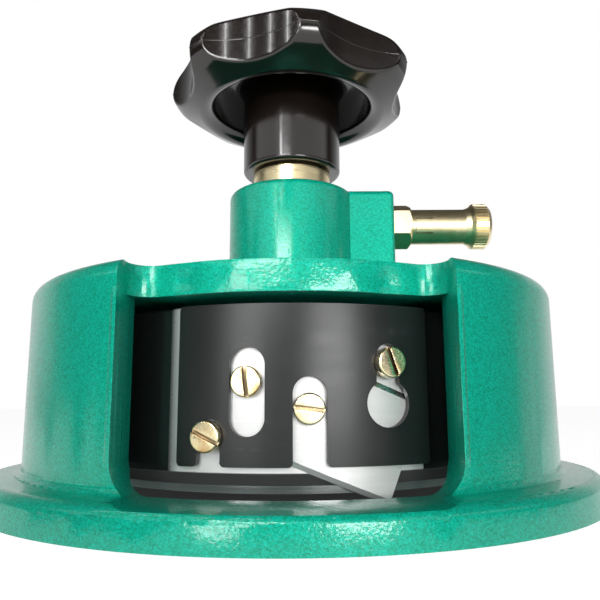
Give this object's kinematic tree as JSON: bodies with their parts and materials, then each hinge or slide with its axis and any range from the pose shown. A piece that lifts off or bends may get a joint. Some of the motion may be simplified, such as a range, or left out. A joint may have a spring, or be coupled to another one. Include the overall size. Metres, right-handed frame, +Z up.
{
  "type": "round fabric sample cutter",
  "caption": "Hand cutter for round fabric samples: cast housing with window, sprung blade drum under a lobed handwheel, and a brass side catch.",
  "frame": {"origin": "centre of the base flange's lower face", "axes": "+Z up along the spindle, -Y out of the blade window, +X along the catch"},
  "size_m": [0.1668, 0.1668, 0.1374],
  "materials": {
    "green_enamel": "green hammer-tone metallic enamel on an aluminium casting, glossy",
    "black_drum": "black anodised turned aluminium, satin, bare metal under the clamp plates",
    "black_plate": "black oxide spring steel, satin",
    "blade_steel": "ground blade steel",
    "yellow_zinc": "yellow zinc plated steel",
    "brass": "turned brass, polished",
    "bronze": "plain bearing bronze",
    "plain_steel": "turned steel",
    "spring_steel": "drawn spring wire",
    "black_steel": "black oxide steel",
    "black_bakelite": "glossy moulded phenolic"
  },
  "bodies": {
    "housing": {"housing": "green_enamel", "guide_bush": "bronze", "spring_washer": "plain_steel", "return_spring": "spring_steel", "catch_sleeve": "brass", "catch_spring": "spring_steel"},
    "collar": {"thrust_collar": "brass"},
    "rotor": {"spindle": "plain_steel", "blade_drum": "black_drum", "drum_key": "plain_steel", "drum_bolt": "plain_steel", "drum_washer": "plain_steel", "handwheel": "black_bakelite", "hub_insert": "brass", "hub_set_screw": "black_steel", "blade_1": "blade_steel", "blade_2": "blade_steel", "blade_3": "blade_steel", "blade_4": "blade_steel", "clamp_plate_1": "black_plate", "clamp_plate_2": "black_plate", "clamp_plate_3": "black_plate", "clamp_plate_4": "black_plate", "clamp_screws_1": "yellow_zinc", "clamp_screws_2": "yellow_zinc", "clamp_screws_3": "yellow_zinc", "clamp_screws_4": "yellow_zinc", "blade_screws_1": "yellow_zinc", "blade_screws_2": "yellow_zinc", "blade_screws_3": "yellow_zinc", "blade_screws_4": "yellow_zinc"},
    "catch": {"catch_knob": "brass", "catch_pin": "plain_steel", "catch_roll_pin": "plain_steel"}
  },
  "joints": [
    {"name": "press", "type": "slide", "parent": "housing", "child": "collar", "axis": [0, 0, -1], "range_m": [0, 0.0055], "stiffness_N_per_m": 2500, "springref_m": -0.015, "deforming": ["return_spring"]},
    {"name": "turn", "type": "hinge", "parent": "collar", "child": "rotor", "pos_m": [0, 0, 0], "axis": [0, 0, 1], "continuous": true},
    {"name": "catch_pull", "type": "slide", "parent": "housing", "child": "catch", "axis": [1, 0, 0], "range_m": [0, 0.006], "stiffness_N_per_m": 600, "springref_m": -0.006, "deforming": ["catch_spring"]}
  ]
}
